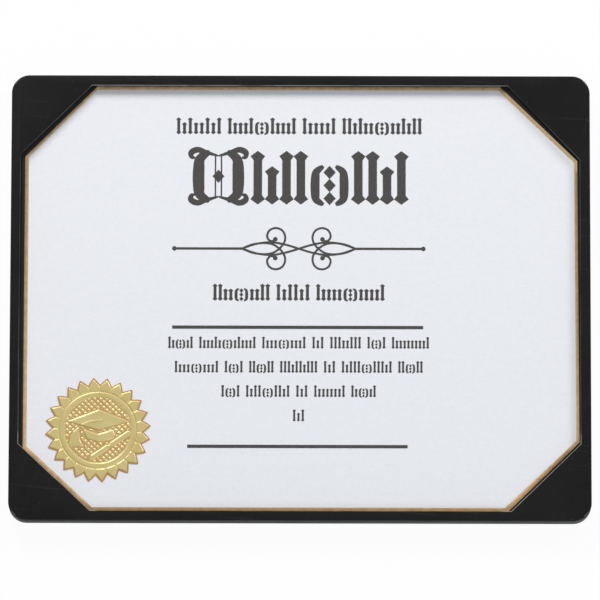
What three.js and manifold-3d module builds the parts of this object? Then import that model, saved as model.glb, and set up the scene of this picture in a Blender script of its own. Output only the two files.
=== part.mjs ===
// A diploma in its display holder, lying on its back.
// Millimetres. +X points to the right of the sheet, +Y to its top edge and +Z out of the window.
// The origin is the middle of the back face.

import * as THREE from 'three';
import { mergeVertices } from 'three/addons/utils/BufferGeometryUtils.js';
import Module from 'manifold-3d';

const wasm = await Module();
wasm.setup();

// A letter-size sheet of card.
const sheetLength = 279.4;
const sheetWidth = 215.9;
const sheetThickness = 0.3;
const sheetCornerCut = 0.4;

// The tray lies around the sheet with a clearance, and the sheet is a little slack under the mat.
const sheetClearance = 1;
const sheetSlack = 0.2;
const trayEndWall = 4.3;
const traySideWall = 3.8;
const trayFloor = 2.5;
const cavityCornerRadius = 2.5;
const boardThickness = 5;
const boardClearance = 0.3;
const holderCornerRadius = 9;
const backEdgeChamfer = 0.8;
const frontEdgeChamfer = 0.5;

// The plate has a narrow rim around its window, and the mat shows a narrow band inside it.
const plateThickness = 2.4;
const plateEndRim = 4.45;
const plateSideRim = 4.8;
const plateWindowShift = new THREE.Vector2(0.25, 0);
const matThickness = 1.6;
const matEndBand = 2.2;
const matSideBand = 0.2;
const matWindowShift = new THREE.Vector2(0.3, -0.25);
const windowEdgeChamfer = 0.2;
const filletWidth = 1.9;
const filletLip = 0.3;

// Each corner of the windows and of the fillet's lip is cut by hand to its own length along the
// edges, listed counter-clockwise from the top right.
const plateCornerCuts = [37, 35.65, 34.25, 35.75];
const matCornerCuts = [38.55, 36, 32.1, 34.95];
const lipCornerCuts = [37.1, 34.35, 31.95, 33.05];

// The embossed foil seal, stuck on near the sheet's lower left corner.
const sealFromLeft = 38.95;
const sealFromBottom = 40.97;
const sealTeeth = 24;
const sealTurn = THREE.MathUtils.degToRad(4.9);
const sealTipRadius = 26.5;
const sealToothDepth = 3.8;
const sealBorder = 3.3;
const sealFoil = 0.3;
const sealRingWidth = 2.7;
const sealRingHeight = 0.45;
const sealRingCrest = 0.7;
const studSpacing = 3.05;
const studRowPitch = 1.42;
const studRadius = 0.75;
const studTopRadius = 0.25;
const studHeight = 0.25;
const studMargin = 0.4;

// The emblem on the seal: a graduation cap with its tassel over a rolled scroll,
// placed from the seal's centre.
const reliefHeight = 0.55;
const reliefSlope = 0.35;
const capHalfLength = 14.5;
const capHalfWidth = 5;
const capRight = 0.6;
const capUp = 4.8;
const crownRadius = 7.4;
const crownDepth = 5.2;
const crownRight = 0.5;
const crownDown = 0.1;
const scrollHalfWidth = 1.8;
const scrollHalfLength = 11.2;
const scrollRight = 4.8;
const scrollDown = 7.5;
const scrollTilt = THREE.MathUtils.degToRad(31);
const tasselWidth = 1.1;
const tasselFlare = 4.6;
const tasselReach = 3.6;
const tasselDrop = 8.5;

// The print is a film of ink, centred a little left of the sheet's middle.
// Each row lies a step below the one before it, the first below the sheet's top edge.
const inkThickness = 0.1;
const printOffset = -0.8;
const ruleOffset = -1.3;
const headingDrop = 24.55;
const titleStep = 35.8;
const dividerStep = 22.45;
const awardStep = 26.55;
const nameRuleStep = 13.4;
const textStep = 10.8;
const textRowStep = 12.27;
const dateRuleStep = 12.6;

// A row's length comes from its words: the pitch of its strokes and the gap between words.
// The title opens with a taller ornament.
const headingHeight = 7;
const headingPitch = 5.8;
const titleHeight = 19.8;
const ornamentHeight = 28.8;
const titlePitch = 14.55;
const titleGap = 1.6;
const textHeight = 4.5;
const textPitch = 3.2;
const wordGap = 2.6;
const baselineStroke = 0.5;
const ruleThickness = 1.6;
const nameRuleLength = 125.4;
const dateRuleLength = 109.8;

// The divider: half its length, its stroke and dots, and the points of its two curves as offsets
// from its middle. The lens waves through the middle; the loop leaves it at a crossing and curls in.
const dividerHalfLength = 62.3;
const dividerStroke = 1;
const dividerDot = 1.2;
const lensPoints = [[28.4, 0], [21.4, 2.4], [13.8, 3.2], [6.6, 2], [0, 0], [-1, -0.3]];
const loopPoints = [
  [28.4, 0], [23.2, 2.1], [17.6, 2.85], [13.2, 2.2], [9.8, 0], [7.4, -3.1], [6.9, -6.3],
  [8.4, -9.3], [11.6, -10.5], [14.7, -9.3], [15.9, -6.5], [15, -4.4], [12.9, -3.8],
];
const curlDot = [11.8, -4.8];

// The words of each row, as counts of strokes.
const headingWords = [4, 6, 3, 7];
const titleWords = [2, 1, 1, 1, 1, 1];
const awardWords = [5, 3, 6];
const textWords = [[4, 9, 7, 2, 5, 3, 6], [7, 3, 4, 6, 2, 8, 4], [3, 7, 2, 5, 4], [2]];

// Levels and sizes that follow from the ones above.
const cavityLength = sheetLength + 2 * sheetClearance;
const cavityWidth = sheetWidth + 2 * sheetClearance;
const holderLength = cavityLength + 2 * trayEndWall;
const holderWidth = cavityWidth + 2 * traySideWall;
const plateWindowLength = holderLength - 2 * plateEndRim;
const plateWindowWidth = holderWidth - 2 * plateSideRim;
const matWindowLength = plateWindowLength - 2 * matEndBand;
const matWindowWidth = plateWindowWidth - 2 * matSideBand;
const sheetBase = trayFloor + boardThickness;
const sheetTop = sheetBase + sheetThickness;
const matBase = sheetTop + sheetSlack;
const plateBase = matBase + matThickness;
const holderTop = plateBase + plateThickness;
const sealValleyRadius = sealTipRadius - sealToothDepth;
const sealRingOuter = sealValleyRadius - sealBorder;
const sealRingInner = sealRingOuter - sealRingWidth;

const cornerSegments = 16;
const curveSteps = 4;
const inkSimplify = 0.02;
const overcut = 1;

// Outlines, as counter-clockwise lists of points.

function roundedRectangle(length, width, radius) {
  const points = [];
  for (let corner = 0; corner < 4; corner++) {
    const sx = corner === 0 || corner === 3 ? 1 : -1;
    const sy = corner < 2 ? 1 : -1;
    const cx = sx * (length / 2 - radius);
    const cy = sy * (width / 2 - radius);
    for (let i = 0; i <= cornerSegments; i++) {
      const angle = (corner + i / cornerSegments) * Math.PI / 2;
      points.push(new THREE.Vector2(cx + radius * Math.cos(angle), cy + radius * Math.sin(angle)));
    }
  }
  return points;
}

function octagon(length, width, cuts) {
  const x = length / 2;
  const y = width / 2;
  const [topRight, topLeft, bottomLeft, bottomRight] = cuts;
  return [
    [x, y - topRight], [x - topRight, y],
    [-x + topLeft, y], [-x, y - topLeft],
    [-x, -y + bottomLeft], [-x + bottomLeft, -y],
    [x - bottomRight, -y], [x, -y + bottomRight],
  ].map(([px, py]) => new THREE.Vector2(px, py));
}

// The same octagon moved outwards by a distance, with its sides parallel.
function grownOctagon(length, width, cuts, distance) {
  const growth = distance * (2 - Math.SQRT2);
  return octagon(length + 2 * distance, width + 2 * distance, cuts.map((cut) => cut + growth));
}

function circle(centre, radius, segments) {
  const points = [];
  for (let i = 0; i < segments; i++) {
    const angle = i / segments * 2 * Math.PI;
    points.push(new THREE.Vector2(radius * Math.cos(angle), radius * Math.sin(angle)).add(centre));
  }
  return points;
}

// The outline of the tray, mat and plate, drawn in by an inset.
function holderOutline(inset) {
  return roundedRectangle(holderLength - 2 * inset, holderWidth - 2 * inset, holderCornerRadius - inset);
}

// Walls between outlines with equal numbers of points, each given with its level.
function wallTriangles(count, pairs) {
  const triangles = [];
  for (const [low, high] of pairs) {
    for (let i = 0; i < count; i++) {
      const next = (i + 1) % count;
      const a = low * count + i;
      const b = low * count + next;
      const c = high * count + next;
      const d = high * count + i;
      triangles.push(a, b, c, a, c, d);
    }
  }
  return triangles;
}

function indexedGeometry(rings, triangles) {
  const positions = rings.flatMap(({ outline, z }) => outline.flatMap((p) => [p.x, p.y, z]));
  const geometry = new THREE.BufferGeometry();
  geometry.setAttribute('position', new THREE.Float32BufferAttribute(positions, 3));
  geometry.setIndex(triangles);
  return geometry;
}

// A closed solid through a stack of outlines, from the lowest up.
function loft(rings) {
  const count = rings[0].outline.length;
  const top = rings.length - 1;
  const triangles = wallTriangles(count, rings.slice(1).map((ring, i) => [i, i + 1]));
  for (const [a, b, c] of THREE.ShapeUtils.triangulateShape(rings[0].outline, [])) {
    triangles.push(a, c, b);
  }
  for (const [a, b, c] of THREE.ShapeUtils.triangulateShape(rings[top].outline, [])) {
    triangles.push(top * count + a, top * count + b, top * count + c);
  }
  return indexedGeometry(rings, triangles);
}

// A closed loop of moulding: its section runs up the outside and down the inside.
function moulding(rings) {
  const count = rings[0].outline.length;
  const pairs = rings.map((ring, i) => [i, (i + 1) % rings.length]);
  return indexedGeometry(rings, wallTriangles(count, pairs));
}

function slab(outline, zLow, zHigh) {
  return loft([{ outline, z: zLow }, { outline, z: zHigh }]);
}

// Joining and cutting.

function solidFrom(geometry) {
  const plain = geometry.clone();
  plain.deleteAttribute('normal');
  plain.deleteAttribute('uv');
  const merged = mergeVertices(plain, 1e-5);
  return new wasm.Manifold(new wasm.Mesh({
    numProp: 3,
    vertProperties: new Float32Array(merged.attributes.position.array),
    triVerts: new Uint32Array(merged.index.array),
  }));
}

function geometryFrom(solid) {
  const mesh = solid.getMesh();
  const geometry = new THREE.BufferGeometry();
  geometry.setAttribute('position', new THREE.BufferAttribute(mesh.vertProperties, 3));
  geometry.setIndex(new THREE.BufferAttribute(mesh.triVerts, 1));
  return geometry;
}

function cut(body, hole) {
  return geometryFrom(solidFrom(body).subtract(solidFrom(hole)));
}

function join(pieces) {
  let solid = solidFrom(pieces[0]);
  for (const piece of pieces.slice(1)) {
    solid = solid.add(solidFrom(piece));
  }
  return geometryFrom(solid);
}

// The moulded tray: a flat back, and a wall around the cavity for the board and the sheet.
function caseTray() {
  const foot = holderOutline(backEdgeChamfer);
  const side = holderOutline(0);
  const body = loft([
    { outline: foot, z: 0 },
    { outline: side, z: backEdgeChamfer },
    { outline: side, z: matBase },
  ]);
  const cavity = roundedRectangle(cavityLength, cavityWidth, cavityCornerRadius);
  return cut(body, slab(cavity, trayFloor, matBase + overcut));
}

// The board that fills the tray and carries the sheet.
function backingBoard() {
  const outline = roundedRectangle(
    cavityLength - 2 * boardClearance,
    cavityWidth - 2 * boardClearance,
    cavityCornerRadius - boardClearance,
  );
  return slab(outline, trayFloor, sheetBase);
}

function diplomaSheet() {
  const cuts = new Array(4).fill(sheetCornerCut);
  return slab(octagon(sheetLength, sheetWidth, cuts), sheetBase, sheetTop);
}

// The windows are not quite in the middle of the holder, and the mat's lies a little lower.
function plateWindow(grow) {
  const outline = grownOctagon(plateWindowLength, plateWindowWidth, plateCornerCuts, grow);
  return outline.map((p) => p.add(plateWindowShift));
}

function matWindow() {
  const outline = octagon(matWindowLength, matWindowWidth, matCornerCuts);
  return outline.map((p) => p.add(matWindowShift));
}

// The black mat, as large as the holder, with an octagonal window.
function windowMat() {
  const hole = slab(matWindow(), matBase - overcut, plateBase + overcut);
  return cut(slab(holderOutline(0), matBase, plateBase), hole);
}

// The gold fillet lines the mat's window and slopes down to a thin lip over the sheet.
function goldFillet() {
  const outline = matWindow();
  const lipLength = matWindowLength - 2 * filletWidth;
  const lipWidth = matWindowWidth - 2 * filletWidth;
  const lip = octagon(lipLength, lipWidth, lipCornerCuts);
  return moulding([
    { outline, z: matBase },
    { outline, z: plateBase },
    { outline: lip, z: matBase + filletLip },
    { outline: lip, z: matBase },
  ]);
}

// The front plate, with its edges broken and a slightly larger window than the mat's.
function framePlate() {
  const side = holderOutline(0);
  const face = holderOutline(frontEdgeChamfer);
  const body = loft([
    { outline: side, z: plateBase },
    { outline: side, z: holderTop - frontEdgeChamfer },
    { outline: face, z: holderTop },
  ]);
  const window = plateWindow(0);
  const opening = loft([
    { outline: window, z: plateBase - overcut },
    { outline: window, z: holderTop - windowEdgeChamfer },
    { outline: plateWindow(windowEdgeChamfer + overcut), z: holderTop + overcut },
  ]);
  return cut(body, opening);
}

// The seal is one pressed foil disc. Its pieces are drawn around its own centre.

function sealDisc() {
  const points = [];
  for (let i = 0; i < 2 * sealTeeth; i++) {
    const angle = sealTurn + i * Math.PI / sealTeeth;
    const radius = i % 2 === 0 ? sealTipRadius : sealValleyRadius;
    points.push(new THREE.Vector2(radius * Math.cos(angle), radius * Math.sin(angle)));
  }
  return slab(points, 0, sealFoil);
}

// The raised ring between the teeth and the studded ground.
function sealRing() {
  const middle = (sealRingOuter + sealRingInner) / 2;
  const profile = [
    [sealRingInner, sealFoil / 2],
    [sealRingOuter, sealFoil / 2],
    [sealRingOuter, sealFoil],
    [middle + sealRingCrest / 2, sealFoil + sealRingHeight],
    [middle - sealRingCrest / 2, sealFoil + sealRingHeight],
    [sealRingInner, sealFoil],
    [sealRingInner, sealFoil / 2],
  ].map(([r, z]) => new THREE.Vector2(r, z));
  const ring = new THREE.LatheGeometry(profile, 2 * sealTeeth);
  ring.rotateX(Math.PI / 2);
  return ring;
}

// A raised shape with sloping sides, wider at its foot.
function relief(outline, grow) {
  return loft([
    { outline: grow(outline, reliefSlope), z: sealFoil / 2 },
    { outline: grow(outline, reliefSlope), z: sealFoil },
    { outline, z: sealFoil + reliefHeight },
  ]);
}

function grownFrom(centre) {
  return (outline, distance) => outline.map((p) => {
    const away = p.clone().sub(centre);
    return p.clone().add(away.setLength(distance));
  });
}

// The mortarboard of the graduation cap, a lozenge seen from its front.
function capBoard() {
  const capCentre = new THREE.Vector2(capRight, capUp);
  const outline = [
    new THREE.Vector2(capCentre.x + capHalfLength, capCentre.y),
    new THREE.Vector2(capCentre.x, capCentre.y + capHalfWidth),
    new THREE.Vector2(capCentre.x - capHalfLength, capCentre.y),
    new THREE.Vector2(capCentre.x, capCentre.y - capHalfWidth),
  ];
  return relief(outline, grownFrom(capCentre));
}

function capCrown() {
  const crownCentre = new THREE.Vector2(crownRight, -crownDown);
  const outline = [];
  for (let i = 0; i <= cornerSegments; i++) {
    const angle = Math.PI + i / cornerSegments * Math.PI;
    const x = crownCentre.x + crownRadius * Math.cos(angle);
    outline.push(new THREE.Vector2(x, crownCentre.y + crownDepth * Math.sin(angle)));
  }
  return relief(outline, grownFrom(crownCentre));
}

// The tassel hangs from the middle of the board's lower left edge and flares towards its end.
function tassel() {
  const start = new THREE.Vector2(capRight - capHalfLength / 2, capUp - capHalfWidth / 2);
  const end = new THREE.Vector2(start.x - tasselReach, start.y - tasselDrop);
  const outline = [
    new THREE.Vector2(start.x - tasselWidth / 2, start.y),
    new THREE.Vector2(end.x - tasselFlare / 2, end.y),
    new THREE.Vector2(end.x + tasselFlare / 2, end.y - tasselWidth),
    new THREE.Vector2(start.x + tasselWidth / 2, start.y),
  ];
  const middle = start.clone().add(end).multiplyScalar(0.5);
  return relief(outline, grownFrom(middle));
}

// The rolled scroll under the cap, tilted up to the right.
function scroll() {
  const middle = new THREE.Vector2(scrollRight, -scrollDown);
  const outline = [[-1, -1], [1, -1], [1, 1], [-1, 1]].map(([along, across]) => {
    const corner = new THREE.Vector2(along * scrollHalfLength, across * scrollHalfWidth);
    return corner.rotateAround(new THREE.Vector2(), scrollTilt).add(middle);
  });
  return relief(outline, grownFrom(middle));
}

// Small four-sided studs fill the ground in staggered rows, clear of the emblem.
function studs(emblem) {
  const pieces = [];
  const rows = Math.floor(sealRingInner / studRowPitch);
  const columns = Math.ceil(sealRingInner / studSpacing);
  const reach = sealRingInner - studRadius - studMargin;
  const emblemSolid = emblem.map(solidFrom);
  for (let row = -rows; row <= rows; row++) {
    for (let column = -columns; column <= columns; column++) {
      const shift = row % 2 === 0 ? 0 : studSpacing / 2;
      const centre = new THREE.Vector2(column * studSpacing + shift, row * studRowPitch);
      if (centre.length() > reach) {
        continue;
      }
      const foot = circle(centre, studRadius, 4);
      const top = circle(centre, studTopRadius, 4);
      const stud = loft([
        { outline: foot, z: sealFoil / 2 },
        { outline: foot, z: sealFoil },
        { outline: top, z: sealFoil + studHeight },
      ]);
      const solid = solidFrom(stud);
      const covered = emblemSolid.some((piece) => !piece.intersect(solid).isEmpty());
      if (!covered) {
        pieces.push(stud);
      }
    }
  }
  return pieces;
}

function goldSeal() {
  const emblem = [capBoard(), capCrown(), tassel(), scroll()];
  return join([sealDisc(), sealRing(), ...emblem, ...studs(emblem)]);
}

// The divider: two lines, two crossing lens curves and four curled loops, joined as one figure.

function strokeAlong(points) {
  const left = [];
  const right = [];
  points.forEach((point, i) => {
    const before = points[Math.max(i - 1, 0)];
    const after = points[Math.min(i + 1, points.length - 1)];
    const along = after.clone().sub(before);
    const side = new THREE.Vector2(-along.y, along.x).setLength(dividerStroke / 2);
    left.push(point.clone().add(side));
    right.push(point.clone().sub(side));
  });
  return [...right, ...left.reverse()];
}

// A smooth stroke through points given on the right, mirrored by the two signs.
function curveThrough(points, signX, signY) {
  const placed = points.map(([x, y]) => new THREE.Vector2(signX * x, signY * y));
  return strokeAlong(new THREE.SplineCurve(placed).getPoints(curveSteps * (points.length - 1)));
}

// One film of ink that covers a set of overlapping outlines.
function inkFigure(outlines) {
  const areas = outlines.map((outline) => (
    new wasm.CrossSection([outline.map((p) => [p.x, p.y])], 'NonZero')
  ));
  const figure = wasm.CrossSection.union(areas).simplify(inkSimplify);
  return geometryFrom(figure.extrude(inkThickness));
}

function dividerFlourish() {
  const outlines = [];
  const lensEnd = lensPoints[0][0];
  for (const side of [-1, 1]) {
    const tip = new THREE.Vector2(side * dividerHalfLength, 0);
    const lineEnd = new THREE.Vector2(side * (lensEnd - dividerStroke), 0);
    outlines.push(strokeAlong([tip, lineEnd]), circle(tip, dividerDot, 12));
    for (const rise of [-1, 1]) {
      const curl = new THREE.Vector2(side * curlDot[0], rise * curlDot[1]);
      outlines.push(curveThrough(lensPoints, side, rise), curveThrough(loopPoints, side, rise));
      outlines.push(circle(curl, dividerDot, 12));
    }
  }
  return inkFigure(outlines);
}

function rule(length) {
  const x = length / 2;
  const y = ruleThickness / 2;
  const corners = [[x, y], [-x, y], [-x, -y], [x, -y]];
  return slab(corners.map(([px, py]) => new THREE.Vector2(px, py)), 0, inkThickness);
}

// A row of print: a word is a block on a thin baseline that joins the row into one film.
function printRow(words, pitch, gap, height, firstHeight = height) {
  const strokes = words.reduce((sum, word) => sum + word, 0);
  const half = (strokes * pitch + (words.length - 1) * gap) / 2;
  const outline = [new THREE.Vector2(half, 0)];
  let x = half;
  [...words].reverse().forEach((word, i) => {
    if (i > 0) {
      outline.push(new THREE.Vector2(x, baselineStroke));
      x -= gap;
      outline.push(new THREE.Vector2(x, baselineStroke));
    }
    const top = i === words.length - 1 ? firstHeight : height;
    outline.push(new THREE.Vector2(x, top));
    x -= word * pitch;
    outline.push(new THREE.Vector2(x, top));
  });
  outline.push(new THREE.Vector2(-half, 0));
  return slab(outline, 0, inkThickness);
}

// Materials, one for each finish.
const blackSatin = { color: 0x262424, roughness: 0.45, metalness: 0 };
const matBlack = { color: 0x1c1b1b, roughness: 0.75, metalness: 0 };
const board = { color: 0xb9b2a4, roughness: 0.9, metalness: 0 };
const paper = { color: 0xe7e9ee, roughness: 0.8, metalness: 0 };
const goldFoil = { color: 0xb88f58, roughness: 0.4, metalness: 0.8 };
const sealGold = { color: 0xc9b36a, roughness: 0.35, metalness: 0.8 };
const ink = { color: 0x3f3c3b, roughness: 0.7, metalness: 0 };

const diploma = new THREE.Group();

function add(name, geometry, finish, x = 0, y = 0, z = 0) {
  const mesh = new THREE.Mesh(geometry, new THREE.MeshStandardMaterial(finish));
  mesh.name = name;
  mesh.position.set(x, y, z);
  diploma.add(mesh);
}

add('case_tray', caseTray(), blackSatin);
add('backing_board', backingBoard(), board);
add('diploma_sheet', diplomaSheet(), paper);
add('window_mat', windowMat(), matBlack);
add('gold_fillet', goldFillet(), goldFoil);
add('frame_plate', framePlate(), blackSatin);

const sealX = -sheetLength / 2 + sealFromLeft;
const sealY = -sheetWidth / 2 + sealFromBottom;
add('gold_seal', goldSeal(), sealGold, sealX, sealY, sheetTop);

// The print is set from the top of the sheet down.
let printLevel = sheetWidth / 2;

function addPrint(name, geometry, step, offset = printOffset) {
  printLevel -= step;
  add(name, geometry, ink, offset, printLevel, sheetTop);
}

addPrint('heading_row', printRow(headingWords, headingPitch, wordGap, headingHeight), headingDrop);
const titleRow = printRow(titleWords, titlePitch, titleGap, titleHeight, ornamentHeight);
addPrint('title_row', titleRow, titleStep);
addPrint('divider_flourish', dividerFlourish(), dividerStep);
addPrint('award_row', printRow(awardWords, headingPitch, wordGap, headingHeight), awardStep);
addPrint('name_rule', rule(nameRuleLength), nameRuleStep, ruleOffset);
textWords.forEach((words, i) => {
  const step = i === 0 ? textStep : textRowStep;
  addPrint(`text_row_${i + 1}`, printRow(words, textPitch, wordGap, textHeight), step);
});
addPrint('date_rule', rule(dateRuleLength), dateRuleStep, ruleOffset);

export default diploma;
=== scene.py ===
# %% [markdown]
# # A diploma in its display holder
# The object is a white sheet of card in a flat black holder. A mat with a gold edge and a black
# plate lie on the sheet, both with eight-sided windows, and a pressed gold seal is stuck on its
# lower left. The frame carries every piece at its real size. This script gives each one its
# finish. It makes again the pieces that need more than flat faces: the seal, the print and the
# ornament, and the plate, the mat and the gold edge, whose corners were cut by hand.

# %% Load the frame
import math
import random

import bmesh
import bpy
import numpy as np
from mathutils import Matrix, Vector


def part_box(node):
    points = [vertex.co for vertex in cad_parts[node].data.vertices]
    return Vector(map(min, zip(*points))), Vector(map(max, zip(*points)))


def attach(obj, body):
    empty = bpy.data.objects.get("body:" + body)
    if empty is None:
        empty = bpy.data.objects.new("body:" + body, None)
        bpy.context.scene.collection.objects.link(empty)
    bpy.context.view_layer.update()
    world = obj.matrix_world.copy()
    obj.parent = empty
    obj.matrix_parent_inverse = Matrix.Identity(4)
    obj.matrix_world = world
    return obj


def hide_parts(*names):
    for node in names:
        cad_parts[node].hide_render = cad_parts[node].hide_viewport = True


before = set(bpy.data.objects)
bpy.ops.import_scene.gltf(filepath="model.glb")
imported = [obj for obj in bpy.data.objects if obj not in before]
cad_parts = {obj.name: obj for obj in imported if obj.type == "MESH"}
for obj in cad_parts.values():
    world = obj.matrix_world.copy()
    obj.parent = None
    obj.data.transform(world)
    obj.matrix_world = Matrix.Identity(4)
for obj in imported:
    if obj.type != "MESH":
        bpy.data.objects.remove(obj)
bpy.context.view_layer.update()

MM = 0.001

# %% [markdown]
# ## The camera
# The photograph looks down at the holder from its lower edge, 80 degrees above the table. The
# sides draw together by only one part in eighty, so the camera stands far off with a long lens. A
# fraction of a degree of roll turns the holder as it lies in the photograph.

# %% Place the camera
ELEVATION = math.radians(80)
DISTANCE = 3.498  # metres from the point aimed at
LENS = 418.9  # millimetres, on a sensor 36 millimetres wide
SENSOR = 36
FAR_CLIP = 20
ROLL = math.radians(0.126)
AIM = Vector((-0.18, 0.44, 0)) * MM

camera_data = bpy.data.cameras.new("camera")
camera_data.lens = LENS
camera_data.sensor_width = SENSOR
camera_data.clip_end = FAR_CLIP
camera = bpy.data.objects.new("camera", camera_data)
bpy.context.scene.collection.objects.link(camera)
sight = Vector((0, -math.cos(ELEVATION), math.sin(ELEVATION)))
camera.location = AIM + sight * DISTANCE
camera.rotation_euler = (math.pi / 2 - ELEVATION, 0, 0)
camera.rotation_euler.rotate_axis("Z", ROLL)
bpy.context.scene.camera = camera
print("camera at", [round(v, 3) for v in camera.location])

# %% [markdown]
# ## Light and ground
# The shadow of the plate falls inside the upper edge and the upper left corner, so the main light
# stands behind the top of the sheet, a little to the left. It is warm and the sky is slightly
# blue, so the shadow is too. A broad light in front fills the shadows, and one at the upper right
# puts glints on the seal. Behind the ground the camera sees plain white, not the sky.

# %% Lamps and sky
bpy.context.scene.view_settings.view_transform = "Standard"


def area_lamp(name, size, power, place, tint=(1, 1, 1)):
    lamp = bpy.data.lights.new(name, "AREA")
    lamp.size = size
    lamp.energy = power
    lamp.color = tint
    holder = bpy.data.objects.new(name, lamp)
    holder.location = place
    towards_part = -Vector(place)
    holder.rotation_euler = towards_part.to_track_quat("-Z", "Y").to_euler()
    bpy.context.scene.collection.objects.link(holder)


area_lamp("main_light", 0.55, 23.6, (-0.62, 1.46, 1.12), (1, 0.98, 0.95))
area_lamp("fill_light", 1.2, 7.5, (0.6, -1.2, 1.5))
area_lamp("glint_light", 0.5, 13.0, (1.35, 1.1, 1.0))

SKY_COLOUR = (0.87, 0.93, 1, 1)
SKY_STRENGTH = 0.42


def studio_sky():
    sky = bpy.data.worlds.new("sky")
    sky.use_nodes = True
    tree = sky.node_tree
    light = tree.nodes["Background"]
    light.inputs["Color"].default_value = SKY_COLOUR
    light.inputs["Strength"].default_value = SKY_STRENGTH
    backdrop = tree.nodes.new("ShaderNodeBackground")
    backdrop.inputs["Color"].default_value = (1, 1, 1, 1)
    path = tree.nodes.new("ShaderNodeLightPath")
    chooser = tree.nodes.new("ShaderNodeMixShader")
    tree.links.new(path.outputs["Is Camera Ray"], chooser.inputs["Fac"])
    tree.links.new(light.outputs["Background"], chooser.inputs[1])
    tree.links.new(backdrop.outputs["Background"], chooser.inputs[2])
    tree.links.new(chooser.outputs["Shader"], tree.nodes["World Output"].inputs["Surface"])
    bpy.context.scene.world = sky


studio_sky()
print("lights:", sorted(bpy.data.lights.keys()))

# %% [markdown]
# ## Helpers for materials
# Each finish is a Principled material with its own nodes. Effects that several finishes share are
# node groups that put out plain masks, so that any of them can be tuned where it is used.

# %% A small kit for node trees


def new_material(name, roughness, metallic=0.0, specular=0.5):
    material = bpy.data.materials.new(name)
    material.use_nodes = True
    shader = material.node_tree.nodes["Principled BSDF"]
    shader.inputs["Roughness"].default_value = roughness
    shader.inputs["Metallic"].default_value = metallic
    shader.inputs["Specular IOR Level"].default_value = specular
    return material, material.node_tree, shader


def noise_node(tree, coordinates, scale, detail=3.0, roughness=0.55):
    node = tree.nodes.new("ShaderNodeTexNoise")
    node.inputs["Scale"].default_value = scale
    node.inputs["Detail"].default_value = detail
    node.inputs["Roughness"].default_value = roughness
    tree.links.new(coordinates, node.inputs["Vector"])
    return node.outputs["Fac"]


def ramp_node(tree, value, stops):
    node = tree.nodes.new("ShaderNodeValToRGB")
    elements = node.color_ramp.elements
    while len(elements) < len(stops):
        elements.new(0.5)
    for element, (position, colour) in zip(elements, stops):
        element.position = position
        element.color = (*colour, 1)
    tree.links.new(value, node.inputs["Fac"])
    return node.outputs["Color"]


def mix_colour(tree, mask, first, second):
    node = tree.nodes.new("ShaderNodeMix")
    node.data_type = "RGBA"
    for socket, value in ((node.inputs[6], first), (node.inputs[7], second)):
        if isinstance(value, tuple):
            socket.default_value = (*value, 1)
        else:
            tree.links.new(value, socket)
    tree.links.new(mask, node.inputs["Factor"])
    return node.outputs[2]


def bump_node(tree, height, strength, distance, normal=None):
    node = tree.nodes.new("ShaderNodeBump")
    node.inputs["Strength"].default_value = strength
    node.inputs["Distance"].default_value = distance
    tree.links.new(height, node.inputs["Height"])
    if normal is not None:
        tree.links.new(normal, node.inputs["Normal"])
    return node.outputs["Normal"]


def object_coordinates(tree):
    return tree.nodes.new("ShaderNodeTexCoord").outputs["Object"]


def split_place(tree, place):
    """The three coordinates of a place, each on its own."""
    node = tree.nodes.new("ShaderNodeSeparateXYZ")
    tree.links.new(place, node.inputs["Vector"])
    return node.outputs["X"], node.outputs["Y"], node.outputs["Z"]


def mesh_value(tree, name):
    """A number stored on the points of the mesh."""
    node = tree.nodes.new("ShaderNodeAttribute")
    node.attribute_name = name
    return node.outputs["Fac"]


def maths(tree, operation, first, second=None):
    node = tree.nodes.new("ShaderNodeMath")
    node.operation = operation
    tree.links.new(first, node.inputs[0])
    if second is not None:
        tree.links.new(second, node.inputs[1])
    return node.outputs[0]


def map_range(tree, value, low, high, to_low=0.0, to_high=1.0):
    node = tree.nodes.new("ShaderNodeMapRange")
    limits = {"From Min": low, "From Max": high, "To Min": to_low, "To Max": to_high}
    for name, number in limits.items():
        node.inputs[name].default_value = number
    tree.links.new(value, node.inputs["Value"])
    return node.outputs["Result"]


def fade(tree, value, span, to_low=0.0, to_high=1.0):
    """A mask that changes along one direction of the part; the span is in millimetres."""
    return map_range(tree, value, span[0] * MM, span[1] * MM, to_low, to_high)


# %% [markdown]
# ## Shared effects
# Hairlines are what wiping leaves on a satin surface: long thin scratches, here a noise stretched
# along one direction and cut to its narrow crests. Specks are dust: the cores of scattered cells.
# Grain is the tooth of paper and board, two noises of different size laid over each other.

# %% Build the shared node groups


def effect_group(name, inputs, output):
    group = bpy.data.node_groups.new(name, "ShaderNodeTree")
    group.interface.new_socket("Vector", in_out="INPUT", socket_type="NodeSocketVector")
    for socket in inputs:
        group.interface.new_socket(socket, in_out="INPUT", socket_type="NodeSocketFloat")
    group.interface.new_socket(output, in_out="OUTPUT", socket_type="NodeSocketFloat")
    return group, group.nodes.new("NodeGroupInput"), group.nodes.new("NodeGroupOutput")


def hairline_group():
    group, entry, result = effect_group("hairlines", ["Turn", "Scale", "Amount"], "Mask")
    rotate = group.nodes.new("ShaderNodeVectorRotate")
    rotate.rotation_type = "Z_AXIS"
    group.links.new(entry.outputs["Vector"], rotate.inputs["Vector"])
    group.links.new(entry.outputs["Turn"], rotate.inputs["Angle"])
    stretch = group.nodes.new("ShaderNodeMapping")
    stretch.inputs["Scale"].default_value = (0.025, 1, 1)
    group.links.new(rotate.outputs["Vector"], stretch.inputs["Vector"])
    lines = group.nodes.new("ShaderNodeTexNoise")
    lines.inputs["Detail"].default_value = 2
    group.links.new(stretch.outputs["Vector"], lines.inputs["Vector"])
    group.links.new(entry.outputs["Scale"], lines.inputs["Scale"])
    crest = map_range(group, lines.outputs["Fac"], 0.64, 0.72)
    mask = maths(group, "MULTIPLY", crest, entry.outputs["Amount"])
    group.links.new(mask, result.inputs["Mask"])
    return group


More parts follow.
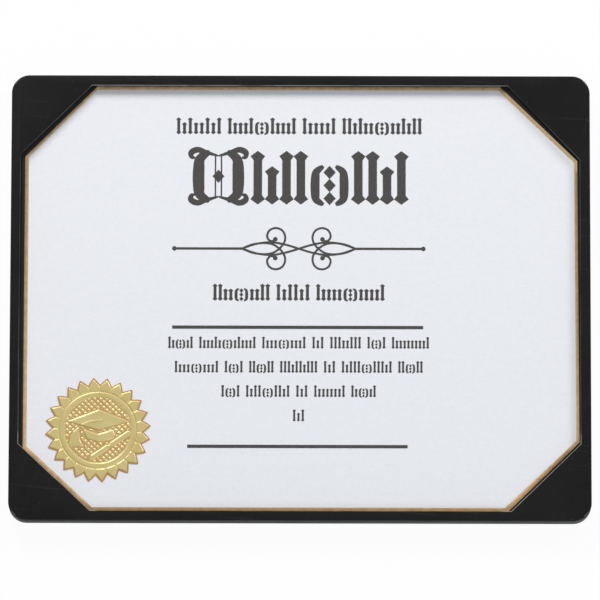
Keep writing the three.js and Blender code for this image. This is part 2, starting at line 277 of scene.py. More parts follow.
def speck_group():
    group, entry, result = effect_group("specks", ["Scale", "Size", "Amount"], "Mask")
    cells = group.nodes.new("ShaderNodeTexVoronoi")
    group.links.new(entry.outputs["Vector"], cells.inputs["Vector"])
    group.links.new(entry.outputs["Scale"], cells.inputs["Scale"])
    core = maths(group, "LESS_THAN", cells.outputs["Distance"], entry.outputs["Size"])
    mask = maths(group, "MULTIPLY", core, entry.outputs["Amount"])
    group.links.new(mask, result.inputs["Mask"])
    return group


def grain_group():
    group, entry, result = effect_group("grain", ["Fine", "Coarse"], "Height")
    fine = noise_node(group, entry.outputs["Vector"], 1, 2)
    coarse = noise_node(group, entry.outputs["Vector"], 1, 2)
    group.links.new(entry.outputs["Fine"], fine.node.inputs["Scale"])
    group.links.new(entry.outputs["Coarse"], coarse.node.inputs["Scale"])
    total = group.nodes.new("ShaderNodeMath")
    total.operation = "MULTIPLY_ADD"
    total.inputs[1].default_value = 0.6
    group.links.new(coarse, total.inputs[0])
    group.links.new(fine, total.inputs[2])
    group.links.new(total.outputs[0], result.inputs["Height"])
    return group


HAIRLINES = hairline_group()
SPECKS = speck_group()
GRAIN = grain_group()
print("shared effects:", HAIRLINES.name, SPECKS.name, GRAIN.name)


def use_group(tree, group, coordinates, **values):
    node = tree.nodes.new("ShaderNodeGroup")
    node.node_tree = group
    tree.links.new(coordinates, node.inputs["Vector"])
    for name, value in values.items():
        node.inputs[name].default_value = value
    return node.outputs[0]


# %% [markdown]
# ## Finishes
# The plate and the tray are satin black plastic, the mat is duller board. Both are nearly black,
# and only their gloss tells them apart; the tray is lighter, a painted reflection of the white
# ground on its sides. The plate is rubbed grey along its window, with painted highlight added at
# the upper edge and the two lower corners. The gold edge is foil rubbed onto a slope, mottled from
# orange to tan, with painted shade at the top of the slope, along the lower edge and at the lower
# right corner, and painted light at the upper right and both ends. The seal is brighter foil whose
# creases are browned as painted shade, following an attribute of its mesh.

# %% Black plastic and black board
# Where the grey window edge is strengthened: painted highlight at the upper edge, rub and painted
# highlight at the two lower corners.
HIGHLIGHT_TOP = (106.8, 107.4)  # along Y
RUB_AND_HIGHLIGHT_CORNERS = (208, 211)  # along the distance from the middle less Y


def black_plastic(name, tone, specular):
    material, tree, shader = new_material(name, 0.4, specular=specular)
    place = object_coordinates(tree)
    clouds = noise_node(tree, place, 26, 4)
    dark, light = [tuple(share * tone * v for v in (1, 0.94, 0.94)) for share in (0.78, 1.15)]
    body = ramp_node(tree, clouds, [(0.3, dark), (0.7, light)])
    long_lines = use_group(tree, HAIRLINES, place, Turn=0.09, Scale=900, Amount=0.6)
    cross_lines = use_group(tree, HAIRLINES, place, Turn=1.9, Scale=700, Amount=0.3)
    dust = use_group(tree, SPECKS, place, Scale=150, Size=0.035, Amount=0.8)
    wear_and_highlight = mix_colour(tree, long_lines, body, (0.026, 0.025, 0.025))
    wear_and_highlight = mix_colour(tree, cross_lines, wear_and_highlight, (0.024, 0.022, 0.022))
    wear_and_highlight = mix_colour(tree, dust, wear_and_highlight, (0.06, 0.058, 0.055))
    # The rounded window edge is painted grey: partly rub, partly painted highlight, strongest at
    # the upper edge and the lower corners.
    rub = map_range(tree, noise_node(tree, place, 45, 3), 0.35, 0.6, 0.25, 1.0)
    x, y, _ = split_place(tree, place)
    to_corners = maths(tree, "SUBTRACT", maths(tree, "ABSOLUTE", x), y)
    highlight_top = fade(tree, y, HIGHLIGHT_TOP, 0.28, 1.3)
    rub_and_highlight_corners = fade(tree, to_corners, RUB_AND_HIGHLIGHT_CORNERS, 0.0, 1.5)
    rub_and_highlight = maths(tree, "ADD", highlight_top, rub_and_highlight_corners)
    edge = map_range(tree, mesh_value(tree, "rim"), 0.8, 1.0)
    rub_and_highlight_mask = maths(tree, "MULTIPLY", maths(tree, "MULTIPLY", edge, rub), rub_and_highlight)
    wear_and_highlight = mix_colour(tree, rub_and_highlight_mask, wear_and_highlight, (0.3, 0.295, 0.295))
    tree.links.new(wear_and_highlight, shader.inputs["Base Color"])
    gloss = map_range(tree, noise_node(tree, place, 60, 3), 0.3, 0.7, 0.36, 0.46)
    tree.links.new(gloss, shader.inputs["Roughness"])
    skin = noise_node(tree, place, 1400, 2)
    tree.links.new(bump_node(tree, skin, 0.12, 0.0001), shader.inputs["Normal"])
    return material


def black_board():
    material, tree, shader = new_material("black_mat_board", 0.7, specular=0.25)
    place = object_coordinates(tree)
    grain = use_group(tree, GRAIN, place, Fine=2600, Coarse=500)
    body = ramp_node(tree, grain, [(0.4, (0.008, 0.0078, 0.0078)), (1.0, (0.014, 0.0132, 0.0132))])
    tree.links.new(body, shader.inputs["Base Color"])
    tree.links.new(bump_node(tree, grain, 0.3, 0.0001), shader.inputs["Normal"])
    return material


def backing_board():
    material, tree, shader = new_material("grey_backing_board", 0.85, specular=0.3)
    place = object_coordinates(tree)
    grain = use_group(tree, GRAIN, place, Fine=1500, Coarse=180)
    body = ramp_node(tree, grain, [(0.5, (0.36, 0.32, 0.26)), (1.1, (0.5, 0.46, 0.39))])
    tree.links.new(body, shader.inputs["Base Color"])
    tree.links.new(bump_node(tree, grain, 0.4, 0.0002), shader.inputs["Normal"])
    return material


# %% Gold edge and seal foil
# Places where the gold's colour carries painted light and shade: darker at the top of the slope,
# along the lower edge and lower right corner, brighter at the upper right and both ends.
DOWN_THE_SLOPE = (9.4, 8.4)  # along Z
LOWER_EDGE = (-101, -105)  # along Y
LOWER_RIGHT = (208, 214)  # along X less Y
UPPER_RIGHT = (201, 204)  # along X and Y together
BELOW_TOP = (106, 104)  # along Y, keeps the upper edge out of the upper right
BOTH_ENDS = (133, 135)  # along the distance from the middle


def gold_edge():
    material, tree, shader = new_material("gold_edge_foil", 0.62, metallic=0.5, specular=0.4)
    place = object_coordinates(tree)
    mottle = noise_node(tree, place, 330, 4, 0.7)
    # Two copies of one foil: high is the foil in painted shade at the top of the slope, under the
    # plate's edge, low is the same foil lit.
    high = ramp_node(tree, mottle, [
        (0.3, (0.21, 0.105, 0.048)), (0.5, (0.3, 0.18, 0.082)), (0.7, (0.38, 0.245, 0.13))])
    low = ramp_node(tree, mottle, [
        (0.3, (0.44, 0.28, 0.14)), (0.5, (0.56, 0.38, 0.21)), (0.7, (0.64, 0.48, 0.3))])
    x, y, z = split_place(tree, place)
    # Painted shade: the foil darkens up the slope towards the plate.
    body = mix_colour(tree, fade(tree, z, DOWN_THE_SLOPE), high, low)
    # Painted shade: darker brown along the lower edge and at the lower right corner.
    lower_edge = fade(tree, y, LOWER_EDGE, 0.0, 0.6)
    lower_right = fade(tree, maths(tree, "SUBTRACT", x, y), LOWER_RIGHT, 0.0, 0.85)
    painted_shade = maths(tree, "MAXIMUM", lower_edge, lower_right)
    body = mix_colour(tree, painted_shade, body, (0.2, 0.11, 0.03))
    # Painted light: brighter at the upper right corner and at both ends.
    upper_right = fade(tree, maths(tree, "ADD", x, y), UPPER_RIGHT, 0.0, 0.95)
    upper_right = maths(tree, "MULTIPLY", upper_right, fade(tree, y, BELOW_TOP))
    both_ends = fade(tree, maths(tree, "ABSOLUTE", x), BOTH_ENDS, 0.0, 0.25)
    painted_light = maths(tree, "MAXIMUM", upper_right, both_ends)
    body = mix_colour(tree, painted_light, body, (0.74, 0.52, 0.27))
    tree.links.new(body, shader.inputs["Base Color"])
    rub = noise_node(tree, place, 900, 3)
    tree.links.new(bump_node(tree, rub, 0.5, 0.00015), shader.inputs["Normal"])
    return material


def seal_foil():
    material, tree, shader = new_material("embossed_seal_foil", 0.38, metallic=0.38, specular=0.95)
    place = object_coordinates(tree)
    clouds = noise_node(tree, place, 90, 3)
    body = ramp_node(tree, clouds, [(0.3, (0.68, 0.54, 0.2)), (0.7, (0.76, 0.62, 0.26))])
    # The creases are browned as painted shade.
    crease_shaded = mix_colour(tree, mesh_value(tree, "crease"), body, (0.54, 0.26, 0.08))
    tree.links.new(crease_shaded, shader.inputs["Base Color"])
    crinkle = noise_node(tree, place, 2200, 2)
    tree.links.new(bump_node(tree, crinkle, 0.25, 0.00008), shader.inputs["Normal"])
    return material


# %% Paper and ink


def white_paper():
    material, tree, shader = new_material("white_card", 0.75, specular=0.2)
    place = object_coordinates(tree)
    grain = use_group(tree, GRAIN, place, Fine=1500, Coarse=420)
    body = ramp_node(tree, grain, [(0.5, (0.779, 0.782, 0.812)), (1.1, (0.818, 0.821, 0.85))])
    tree.links.new(body, shader.inputs["Base Color"])
    stretch = tree.nodes.new("ShaderNodeMapping")
    stretch.inputs["Scale"].default_value = (0.1, 1, 1)
    tree.links.new(place, stretch.inputs["Vector"])
    laid = noise_node(tree, stretch.outputs["Vector"], 520, 2)
    ribs = bump_node(tree, laid, 0.16, 0.0002)
    tree.links.new(bump_node(tree, grain, 0.2, 0.00012, ribs), shader.inputs["Normal"])
    return material


def printing_ink():
    material, tree, shader = new_material("grey_brown_ink", 0.6, specular=0.3)
    place = object_coordinates(tree)
    patches = noise_node(tree, place, 1300, 4, 0.7)
    body = ramp_node(tree, patches, [(0.35, (0.052, 0.047, 0.045)), (0.7, (0.083, 0.076, 0.072))])
    tree.links.new(body, shader.inputs["Base Color"])
    return material


FINISH = {
    # The tray's base is lighter than the plate's: a painted reflection of the white ground on its
    # sides.
    "case_tray": black_plastic("tray_satin_plastic", 0.048, 0.35),
    "frame_plate": black_plastic("plate_satin_plastic", 0.009, 0.17),
    "window_mat": black_board(),
    "backing_board": backing_board(),
    "gold_fillet": gold_edge(),
    "gold_seal": seal_foil(),
    "diploma_sheet": white_paper(),
    "ink": printing_ink(),
}
print("finishes:", sorted({m.name for m in FINISH.values()}))

# %% [markdown]
# ## Pieces that stay as they are
# The tray, the board behind the sheet, the sheet itself and the two printed rules already have
# their true shape in the frame, so they only take their finish.

# %% Dress the frame's own pieces


def dress(thing, material):
    thing.data.materials.clear()
    thing.data.materials.append(material)


for node in ("case_tray", "backing_board", "diploma_sheet", "name_rule", "date_rule"):
    dress(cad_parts[node], FINISH.get(node, FINISH["ink"]))
    print("dressed", node)

# %% [markdown]
# ## Making new pieces
# A new piece is a mesh whose object stays at the origin. It rides on the one body of the part,
# takes the finish of its slot and stands for the plain solid in the frame. Edges that turn by less
# than the smooth angle are shaded as one surface.

# %% Turn a finished mesh into a piece of the part


def to_piece(name, mesh_kit, material, node, smooth_angle=math.radians(40)):
    mesh = bpy.data.meshes.new(name)
    mesh_kit.to_mesh(mesh)
    mesh_kit.free()
    mesh.shade_smooth()
    mesh.set_sharp_from_angle(angle=smooth_angle)
    mesh.materials.append(material)
    thing = bpy.data.objects.new(name, mesh)
    bpy.context.scene.collection.objects.link(thing)
    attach(thing, "root")
    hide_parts(node)
    print(name, len(mesh.vertices), "vertices")


def centre_of(node):
    low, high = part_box(node)
    return (Vector(low) + Vector(high)) / 2


SHEET_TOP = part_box("diploma_sheet")[1][2]
INK = 0.06 * MM  # the thickness of a film of ink
SAME_PLACE = 0.001 * MM  # points closer than this are one point

# %% [markdown]
# ## The window
# The corners of the window were cut by hand, so they aren't quite straight: the lower left cut
# leans, and the gold edge is narrower on the right. The copies of the mat, the gold edge and the
# plate have the corners of their windows moved by a millimetre or two. Each entry holds an area
# (left, right, low, high) and how far the points in it move, across and up, all in millimetres.

# %% Move the corners of the window
LEANING_CORNERS = [
    ((-142, -133, -82, -66), (0, -0.75)),
    ((-112, -96, -110, -101), (1.7, 0)),
]
LEANING_MAT = [
    ((133, 142, 66, 82), (0, 0.8)),
    ((133, 142, -82, -60), (0.5, 0.1)),
    ((96, 112, -110, -101), (-0.3, 0)),
]
LEANING_PLATE = [
    ((-112, 112, 106, 110), (0, -0.4)),
    ((133, 142, 66, 82), (-1.0, -1.0)),
    ((133, 142, -82, -60), (-1.1, -1.9)),
]
LEANING_LIP = [
    ((133, 137, -82, -60), (0, 0.7)),
    ((96, 112, -106.5, -105), (-1.1, 0)),
    ((-137, -135, -82, -66), (0, -0.4)),
    ((-112, -96, -106.5, -105), (-0.7, 0)),
    ((136, 136.9, -110, 110), (0.75, 0)),
    ((-110, 110, 105.5, 106.2), (0, 0.27)),
]


def merged_copy(node):
    """A frame piece with its doubled points merged and its flat faces joined."""
    kit = bmesh.new()
    kit.from_mesh(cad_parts[node].data)
    bmesh.ops.remove_doubles(kit, verts=kit.verts, dist=SAME_PLACE)
    bmesh.ops.dissolve_limit(kit, angle_limit=math.radians(0.5), verts=kit.verts, edges=kit.edges)
    return kit


def move_corners(kit, moves):
    count = 0
    for vert in kit.verts:
        x, y = vert.co.x / MM, vert.co.y / MM
        for (left, right, low, high), (dx, dy) in moves:
            if left < x < right and low < y < high:
                vert.co += Vector((dx * MM, dy * MM, 0))
                count += 1
    return count


for node, moves, slot in (("window_mat", LEANING_MAT, "black_mat"),
                          ("gold_fillet", LEANING_MAT + LEANING_LIP, "gold_trim")):
    kit = merged_copy(node)
    print(node, "corners moved:", move_corners(kit, LEANING_CORNERS + moves))
    to_piece("cut_" + node, kit, FINISH[node], node, math.radians(10))

# %% [markdown]
# ## The front plate
# The plate is cut from flat plastic and its edges are rubbed round, so they carry fine lines of
# light. The copy of the frame's plate has its broken edges rounded with a small bevel, and the
# rounding of the window is marked, so that its finish paints it grey: partly the rub, partly a
# painted highlight. The reach of the mark also takes in the rounded outer corners of the plate.

# %% Round the edges of the plate
PLATE_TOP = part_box("frame_plate")[1][2]
WINDOW_REACH = (143.5 * MM, 110.5 * MM)
ROUNDING = 0.1 * MM
UPPER_PART = 0.6 * MM
RIM_DEPTH = (0.005 * MM, 0.3 * MM)


def in_window(vert):
    return abs(vert.co.x) < WINDOW_REACH[0] and abs(vert.co.y) < WINDOW_REACH[1]


def rounded_plate():
    kit = merged_copy("frame_plate")
    move_corners(kit, LEANING_CORNERS + LEANING_PLATE)
    upper = [e for e in kit.edges if all(v.co.z > PLATE_TOP - UPPER_PART for v in e.verts)]
    level = [e for e in upper if abs(e.verts[0].co.z - e.verts[1].co.z) < 0.01 * MM]
    broken = [e for e in level if e.calc_face_angle(0) > math.radians(25)]
    bmesh.ops.bevel(kit, geom=broken, offset=ROUNDING, offset_type="OFFSET", segments=3,
                    profile=0.5, affect="EDGES", material=-1)
    layer = kit.verts.layers.float.new("rim")
    for vert in kit.verts:
        depth = PLATE_TOP - vert.co.z
        vert[layer] = float(in_window(vert) and RIM_DEPTH[0] < depth < RIM_DEPTH[1])
    return kit


to_piece("front_plate", rounded_plate(), FINISH["frame_plate"], "frame_plate",
         math.radians(50))

# %% [markdown]
# ## The seal
# A notary's seal is a disc of foil on paper, pressed between two dies. Modelling every stud as a
# piece would leave hard joints, while in a pressed foil one skin runs over everything. So the seal
# is a fine round grid, and a height is worked out for each of its points from the figure on the
# die: the toothed rim, a plain ring, and a studded ground with a graduation cap over a scroll.

# %% The figure on the die, in millimetres from the seal's centre
TEETH = 24
TEETH_TURN = math.radians(4.9)
TIP = 26.45
VALLEY = 22.7
RING_OUT = 19.3
RING_IN = 16.7
STUD_ACROSS = 1.52
STUD_UP = 1.42
FOIL = 0.28
TOOTH_RISE = 0.32
RING_RISE = 0.28
STUD_RISE = 0.36
CAP_RISE = 0.34
SCROLL_RISE = 0.3
STRAND_RISE = 0.07

BOARD = [(16.0, 4.3), (0.5, 10.3), (-15.4, 4.3), (0.3, -0.1)]
CROWN = [(7.5, 0.5), (3.6, -1.0), (0.3, -1.9), (-3.2, -0.9), (-6.7, 0.5), (-7.1, -1.0),
         (-5.3, -4.5), (-0.1, -5.9), (5.2, -5.3), (8.2, -4.1), (8.8, -2.4)]
TASSEL = [(-8.9, 2.3), (-12.3, -0.6), (-14.1, -4.0), (-14.8, -8.9), (-10.6, -8.4), (-6.6, -8.8),
          (-8.7, -5.0), (-9.2, -1.0)]
CORD = [(2.1, 4.9), (-3.6, 4.3), (-8.9, 2.0)]
BUTTON = (0.3, 6.0)
SCROLL = ((-3.4, -14.2), (15.2, -1.6))
SCROLL_HALF = 1.4
CURL = (-4.6, -13.6)


def ramp(low, high, value):
    """Rises smoothly from 0 to 1 while the value goes from low to high."""
    t = np.clip((value - low) / (high - low), 0, 1)
    return t * t * (3 - 2 * t)


def along_segment(x, y, start, end):
    """Distance from a line between two points, and the share of the way along it."""
    sx, sy = start
    dx, dy = end[0] - sx, end[1] - sy
    share = np.clip(((x - sx) * dx + (y - sy) * dy) / (dx * dx + dy * dy), 0, 1)
    return np.hypot(x - sx - share * dx, y - sy - share * dy), share


def inside_depth(x, y, outline):
    """How deep a point lies inside an outline; negative outside."""
    nearest = np.full(x.shape, 1e9)
    inside = np.zeros(x.shape, bool)
    for (ax, ay), (bx, by) in zip(outline, outline[1:] + outline[:1]):
        nearest = np.minimum(nearest, along_segment(x, y, (ax, ay), (bx, by))[0])
        crosses = (ay > y) != (by > y)
        rise = by - ay if by != ay else 1e-9
        inside ^= crosses & (x < (bx - ax) * (y - ay) / rise + ax)
    return np.where(inside, nearest, -nearest)


def from_valley(angle):
    """How far an angle is from the nearest valley between two teeth; half a tooth is 0.5."""
    return np.abs(((angle - TEETH_TURN) * TEETH / (2 * math.pi)) % 1 - 0.5)


def rim_radius(angle):
    return VALLEY + (TIP - VALLEY) * from_valley(angle) * 2


def seal_height(x, y):
    """Height of the foil over the sheet, and how much painted shade browns its crease there."""
    radius = np.hypot(x, y)
    angle = np.arctan2(y, x)

    # The teeth stand out as pads with a groove between them, then comes the plain ring.
    to_rim = (rim_radius(angle) - radius) * 0.6
    pad = ramp(0.05, 0.75, from_valley(angle) * radius * 2 * math.pi / TEETH)
    tooth = TOOTH_RISE * ramp(0.45, 0.95, to_rim) * ramp(RING_OUT + 0.1, RING_OUT + 0.7, radius)
    tooth = tooth * (0.35 + 0.65 * pad)
    ring = RING_RISE * ramp(RING_IN - 0.1, RING_IN + 0.4, radius)
    ring = ring * (1 - ramp(RING_OUT - 0.45, RING_OUT - 0.05, radius))
    ground = 1 - ramp(RING_IN - 0.5, RING_IN - 0.1, radius)

    # The emblem: how deep each point lies inside the cap, the tassel and the scroll.
    board = inside_depth(x, y, BOARD)
    crown = inside_depth(x, y, CROWN)
    tassel = inside_depth(x, y, TASSEL)
    roll, share = along_segment(x, y, *SCROLL)
    from_middle = np.abs(share - 0.5)
    waist = SCROLL_HALF - 0.7 * (1 - ramp(0.015, 0.06, from_middle))
    curl = np.hypot(x - CURL[0], y - CURL[1])
    cord = np.minimum(*(along_segment(x, y, *ends)[0] for ends in zip(CORD, CORD[1:])))
    button = np.hypot(x - BUTTON[0], y - BUTTON[1])
    emblem = np.maximum.reduce([board, crown, tassel, waist - roll])

    # Studs fill the ground around the emblem, in a pattern of leaning squares.
    u = (x / STUD_ACROSS + y / STUD_UP) / 2
    v = (x / STUD_ACROSS - y / STUD_UP) / 2
    dome = 1 - 2 * np.maximum(np.abs(u - np.round(u)), np.abs(v - np.round(v)))
    open_ground = ground * (1 - ramp(-0.7, -0.2, emblem))
    studs = STUD_RISE * open_ground * ramp(0.1, 1.0, dome)

    # The emblem's own relief, with the strands of the tassel and the band of the scroll.
    raised = CAP_RISE * ramp(-0.1, 0.5, board)
    raised = np.maximum(raised, CAP_RISE * ramp(-0.1, 0.6, crown))
    fan = (x + 9.2) / (2.2 - y + 1.5) * 34
    strands = STRAND_RISE * np.cos(fan) * ramp(0.1, 0.8, tassel) * ramp(0, 4, -y)
    raised = np.maximum(raised, CAP_RISE * ramp(-0.1, 0.7, tassel) + strands)
    bulge = SCROLL_RISE * ramp(-0.1, 0.8, waist - roll)
    bulge = np.maximum(bulge, 0.26 * (1 - ramp(1.4, 1.9, curl)))
    on_scroll = SCROLL_HALF - roll
    band = 0.12 * (1 - ramp(0.03, 0.05, from_middle))
    raised = np.maximum(raised, bulge + band * ramp(0.0, 0.4, on_scroll))
    raised = raised + 0.15 * (1 - ramp(0.25, 0.75, cord))
    raised = raised + 0.08 * (1 - ramp(0.4, 0.8, button))
    height = FOIL + tooth + ring + studs + raised * ground

    # The creases are browner than the rest of the foil: painted shade in the hollows.
    edge_line = 1 - ramp(0.4, 0.8, to_rim)
    between = open_ground * (1 - ramp(0.1, 0.45, dome)) * 0.8
    foot = ground * (1 - ramp(0.1, 0.45, np.abs(emblem + 0.15))) * 0.8
    groove = (1 - ramp(0.05, 0.35, np.abs(radius - RING_OUT))) * 0.45
    cord_line = (1 - ramp(0.0, 0.25, np.abs(cord - 0.7))) * 0.4 * ramp(0.0, 0.3, board)
    ties = 0.7 * (1 - ramp(0.0, 0.012, np.abs(from_middle - 0.05))) * ramp(0.0, 0.3, on_scroll)
    spiral = 0.7 * (1 - ramp(0.1, 0.35, np.abs(curl - 0.75)))
    crease = np.maximum.reduce([edge_line, between, foot, groove, cord_line, ties, spiral])
    return height, crease


# %% Press the foil
ROUND = 576  # points around the seal
RINGS = 84  # points from its centre to its rim
INNER = 0.8  # share of those within the round part; the rest follow the teeth
RIM_BAND = 1.4  # the teeth shape the grid from here on, in millimetres inside the valleys


def pressed_seal():
    kit = bmesh.new()
    bmesh.ops.create_grid(kit, x_segments=ROUND, y_segments=RINGS, size=0.5)
    points = np.array([v.co[:2] for v in kit.verts])
    angle = (points[:, 0] + 0.5) * 2 * math.pi
    share = np.clip(points[:, 1] + 0.5, 0, 1)
    round_part = np.minimum(share, INNER) / INNER * (VALLEY - RIM_BAND)
    rim_share = np.clip((share - INNER) / (1 - INNER), 0, 1)
    rim_part = rim_share * (rim_radius(angle) - VALLEY + RIM_BAND)
    radius = round_part + rim_part
    x = radius * np.cos(angle)
    y = radius * np.sin(angle)
    height, crease = seal_height(x, y)
    layer = kit.verts.layers.float.new("crease")
    centre = centre_of("gold_seal")
    for vert, px, py, pz, brown in zip(kit.verts, x, y, height, crease):
        vert.co = (centre.x + px * MM, centre.y + py * MM, SHEET_TOP + pz * MM)
        vert[layer] = brown
    bmesh.ops.remove_doubles(kit, verts=kit.verts, dist=SAME_PLACE)
    rim = [e for e in kit.edges if e.is_boundary]
    skirt = bmesh.ops.extrude_edge_only(kit, edges=rim)["geom"]
    for vert in (g for g in skirt if isinstance(g, bmesh.types.BMVert)):
        vert.co.z = SHEET_TOP
    foot = [g for g in skirt if isinstance(g, bmesh.types.BMEdge) and g.is_boundary]
    bmesh.ops.edgeloop_fill(kit, edges=foot)
    bmesh.ops.recalc_face_normals(kit, faces=kit.faces)
    return kit


to_piece("pressed_seal", pressed_seal(), FINISH["gold_seal"], "gold_seal",
         math.radians(75))

# %% [markdown]
# ## The printed ornament
# The divider is drawn with a pen of even width: a straight line from each side, an almond whose
# two lines cross and curl into loops, and a wave that joins the two almonds through the middle.
# Each line is a smooth curve through a few points, widened into a ribbon and given the thickness
# of the ink. Where lines cross, their films differ a little in thickness, so no two upper faces
# coincide.

# %% Draw a ribbon of ink along a curve


def smooth_curve(points, steps=10):
    """A Catmull-Rom curve through the points."""
    padded = [points[0]] + points + [points[-1]]
    path = []
    for a, b, c, d in zip(padded, padded[1:], padded[2:], padded[3:]):
        for i in range(steps):
            t = i / steps
            path.append(0.5 * (2 * b + (c - a) * t + (2 * a - 5 * b + 4 * c - d) * t * t
                               + (3 * b - a - 3 * c + d) * t * t * t))
    path.append(points[-1])
    return path


def ribbon(kit, path, width):
    """Adds one ribbon on the sheet; width is in millimetres, one number for each point."""
    sides = []
    for i, point in enumerate(path):
        along = path[min(i + 1, len(path) - 1)] - path[max(i - 1, 0)]
        across = Vector((-along.y, along.x)).normalized() * width[i] / 2
        sides.append((point + across, point - across))
    rows = [[kit.verts.new((p.x * MM, p.y * MM, SHEET_TOP)) for p in pair] for pair in sides]
    return [kit.faces.new((a[0], a[1], b[1], b[0])) for a, b in zip(rows, rows[1:])]


def flat_shape(kit, corners):
    return [kit.faces.new([kit.verts.new((px * MM, py * MM, SHEET_TOP)) for px, py in corners])]


def dot(kit, centre, radius, sides=18):
    turns = [i / sides * 2 * math.pi for i in range(sides)]
    return flat_shape(kit, [centre + Vector((math.cos(t), math.sin(t))) * radius for t in turns])


def ink_over(kit, faces, height=INK):
    """Gives flat faces the thickness of a film of ink."""
    top = bmesh.ops.extrude_face_region(kit, geom=faces)["geom"]
    for vert in (g for g in top if isinstance(g, bmesh.types.BMVert)):
        vert.co.z += height
    bmesh.ops.recalc_face_normals(kit, faces=kit.faces)


# %% Draw the divider
LINE_END = 62.3
ALMOND_END = 28.4
ALMOND_AND_LOOP = [(-28.4, 0), (-23.2, 2.1), (-17.6, 2.85), (-13.2, 2.2), (-9.8, 0.0),
                   (-7.4, -3.1), (-6.9, -6.3), (-8.4, -9.3), (-11.6, -10.5), (-14.7, -9.3),
                   (-15.9, -6.5), (-15.0, -4.4), (-13.3, -3.8), (-11.9, -4.7)]
WAVE = [(-28.4, 0), (-21.4, 2.4), (-13.8, 3.2), (-6.6, 2.0), (0, 0)]
LOOP_DOT = (-11.8, -4.8)
DOT_RADIUS = 1.15
PEN = 1.05
STRAIGHT_PEN = 1.15 * PEN


def divider():
    kit = bmesh.new()
    middle = centre_of("divider_flourish") / MM
    home = Vector((middle.x, middle.y))
    layers = []
    for sx in (-1, 1):
        line = [home + Vector((x * sx, 0)) for x in (-LINE_END, -ALMOND_END)]
        layers.append(ribbon(kit, line, [STRAIGHT_PEN] * 2))
        layers.append(dot(kit, line[0], DOT_RADIUS))
        for sy in (-1, 1):
            loop = smooth_curve([home + Vector((x * sx, y * sy)) for x, y in ALMOND_AND_LOOP])
            layers.append(ribbon(kit, loop, [PEN] * len(loop)))
            wave = smooth_curve([home + Vector((x * sx, y * sy)) for x, y in WAVE])
            layers.append(ribbon(kit, wave, [PEN] * len(wave)))
            loop_dot = home + Vector((LOOP_DOT[0] * sx, LOOP_DOT[1] * sy))
            layers.append(dot(kit, loop_dot, DOT_RADIUS))
    for i, faces in enumerate(layers):
        ink_over(kit, faces, INK * (1 + 0.02 * i))
    return kit


to_piece("printed_divider", divider(), FINISH["ink"], "divider_flourish")

# %% [markdown]
# ## Rows of print
# The sheet is marked with rows of a plain pattern, the line filling that a broad pen gives:
# upright bars with lozenge ends, columns of lozenges and pairs of bows. Each group is the same
# from either end, like a border ornament, and is as dark as real print.

# %% The strokes of a broad pen


def bar(kit, x, low, high, width):
    """An upright bar with a lozenge at its head and foot, all in millimetres."""
    head = width * 0.85
    half = width / 2
    return flat_shape(kit, [
        (x, low), (x + head, low + 0.75 * head), (x + half, low + 1.3 * head),
        (x + half, high - 1.3 * head), (x + head, high - 0.75 * head), (x, high),
        (x - head, high - 0.75 * head), (x - half, high - 1.3 * head),
        (x - half, low + 1.3 * head), (x - head, low + 0.75 * head)])


def lozenge(kit, x, y, across, up):
    return flat_shape(kit, [(x + across, y), (x, y + up), (x - across, y), (x, y - up)])


def bow(kit, x, low, high, width, side):
    """A curved stroke, thin at its ends; side is 1 when it opens to the right."""
    rise = high - low
    reach = 0.75 * width * side
    points = [(x + 1.3 * reach, high), (x + 0.2 * reach, high - 0.14 * rise),
              (x, high - 0.35 * rise), (x, low + 0.3 * rise),
              (x + 0.2 * reach, low + 0.12 * rise), (x + 1.3 * reach, low)]
    path = smooth_curve([Vector(p) for p in points], 4)
    share = [i / (len(path) - 1) for i in range(len(path))]
    return ribbon(kit, path, [width * (0.3 + 0.75 * math.sin(math.pi * t) ** 0.6) for t in share])


# %% Fill a stretch of line with strokes
random.seed(6)
KINDS = ("bar", "bar", "bar", "tall")


def word_pattern(count):
    """The kinds of stroke in a group, the same from either end."""
    half = ["tall"] + [random.choice(KINDS) for _ in range((count - 1) // 2)]
    if count % 2:
        kinds = half + half[-2::-1]
        if count > 4:
            middle = count // 2
            kinds[middle - 1:middle + 2] = "left bow", "lozenges", "right bow"
        return kinds
    return half + half[::-1]


def print_word(kit, left, right, low, height, width, step):
    """One group of strokes between two places on the line."""
    count = max(2, round((right - left) / step))
    step = (right - left) / count
    high = low + height
    reach = 0.72 * width
    for i, kind in enumerate(word_pattern(count)):
        x = left + step * (i + 0.5)
        if kind == "lozenges":
            for share in (0.16, 0.5, 0.84):
                ink_over(kit, lozenge(kit, x, low + share * height, reach, reach * 1.1))
        elif kind == "left bow":
            ink_over(kit, bow(kit, x, low, high, width, 1))
        elif kind == "right bow":
            ink_over(kit, bow(kit, x, low, high, width, -1))
        else:
            rise = 0.4 * height if kind == "tall" else 0
            ink_over(kit, bar(kit, x, low, high + rise, width))


def print_row(name, words, pitch, gap, **stroke):
    """Fills a row from its left end with groups; each word is given by its count of pitches."""
    low = Vector(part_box(name)[0]) / MM
    kit = bmesh.new()
    x = low.x
    for word in words:
        print_word(kit, x, x + word * pitch, low.y, **stroke)
        x += word * pitch + gap
    to_piece(name + "_print", kit, FINISH["ink"], name)


HEADING = {"pitch": 5.8, "gap": 2.6, "height": 6.2, "width": 1.45, "step": 2.75}
TEXT = {"pitch": 3.2, "gap": 2.6, "height": 4.4, "width": 0.98, "step": 1.95}
print_row("heading_row", (4, 6, 3, 7), **HEADING)
print_row("award_row", (5, 3, 6), **HEADING)
print_row("text_row_1", (4, 9, 7, 2, 5, 3, 6), **TEXT)
print_row("text_row_2", (7, 3, 4, 6, 2, 8, 4), **TEXT)
print_row("text_row_3", (3, 7, 2, 5, 4), **TEXT)
print_row("text_row_4", (2,), **TEXT)

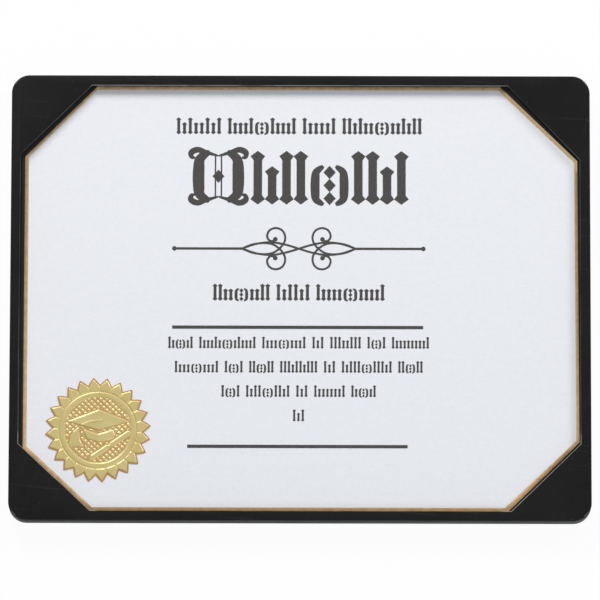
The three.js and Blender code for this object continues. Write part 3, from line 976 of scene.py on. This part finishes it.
# %% [markdown]
# The title is set in the same strokes, much larger, and opens with a round ornament: two heavy
# bows face each other around a pair of upright hairlines, with curled ends above and below, as a
# penman would build an initial.

# %% Set the title
TITLE_WORD = 79.2
TITLE_GAP = 1.6
TITLE = {"height": 19.6, "width": 4.3, "step": 7.2}
INITIAL_BOW = 5.6
INITIAL_HAIRLINE = 0.75
INITIAL_LOZENGE = (3, 3.4)
CURLED_END = [(0, 0.36), (0.2, 0.42), (0.36, 0.47), (0.47, 0.42), (0.46, 0.34), (0.40, 0.33)]


def ornament(kit, left, low, width, height):
    middle = left + width / 2
    for side in (-1, 1):
        outer = middle + side * width * 0.34
        foot, head = low + 0.06 * height, low + 0.94 * height
        ink_over(kit, bow(kit, outer, foot, head, INITIAL_BOW, -side))
        upright = [Vector((middle + side * 1.5, low + share * height)) for share in (0.1, 0.9)]
        ink_over(kit, ribbon(kit, upright, [INITIAL_HAIRLINE] * 2), INK * 0.9)
        for rise in (-1, 1):
            path = smooth_curve([
                Vector((middle + side * px * width, low + height * (0.5 + rise * py)))
                for px, py in CURLED_END])
            steps = len(path) - 1
            widths = [0.7 + 2.4 * math.sin(math.pi * i / steps) for i in range(steps + 1)]
            ink_over(kit, ribbon(kit, path, widths), INK * 0.8)
    centre = low + height / 2
    ink_over(kit, lozenge(kit, middle, centre, *INITIAL_LOZENGE), INK * 0.85)


def title_line():
    low, high = (Vector(corner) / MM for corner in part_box("title_row"))
    kit = bmesh.new()
    initial_width = high.x - low.x - TITLE_WORD - TITLE_GAP
    ornament(kit, low.x, low.y, initial_width, high.y - low.y)
    print_word(kit, high.x - TITLE_WORD, high.x, low.y, **TITLE)
    to_piece("title_row_print", kit, FINISH["ink"], "title_row")


title_line()

# %% [markdown]
# ## The ground
# The holder lies on a white sweep. Its material shows the camera mostly plain white, as a lit
# studio table does, and lets a little of the true shading through, so that the holder keeps its
# shadow. The sweep lies a hair below the holder's back, so that the two faces never coincide.

# %% Lay the ground
GROUND_SIZE = 4  # metres
BELOW_BACK = 0.05 * MM
PLAIN_WHITE = 0.95  # the share of plain white that the camera sees


def white_sweep():
    kit = bmesh.new()
    bmesh.ops.create_grid(kit, x_segments=1, y_segments=1, size=GROUND_SIZE)
    bmesh.ops.translate(kit, vec=(0, 0, -BELOW_BACK), verts=kit.verts)
    mesh = bpy.data.meshes.new("ground")
    kit.to_mesh(mesh)
    kit.free()
    ground = bpy.data.objects.new("ground", mesh)
    bpy.context.scene.collection.objects.link(ground)
    material, tree, shader = new_material("white_sweep", 0.9, specular=0.1)
    shader.inputs["Base Color"].default_value = (0.85, 0.85, 0.85, 1)
    glow = tree.nodes.new("ShaderNodeEmission")
    path = tree.nodes.new("ShaderNodeLightPath")
    share = tree.nodes.new("ShaderNodeMath")
    share.operation = "MULTIPLY"
    share.inputs[1].default_value = PLAIN_WHITE
    tree.links.new(path.outputs["Is Camera Ray"], share.inputs[0])
    mixer = tree.nodes.new("ShaderNodeMixShader")
    tree.links.new(share.outputs[0], mixer.inputs["Fac"])
    tree.links.new(shader.outputs["BSDF"], mixer.inputs[1])
    tree.links.new(glow.outputs["Emission"], mixer.inputs[2])
    tree.links.new(mixer.outputs["Shader"], tree.nodes["Material Output"].inputs["Surface"])
    mesh.materials.append(material)


white_sweep()
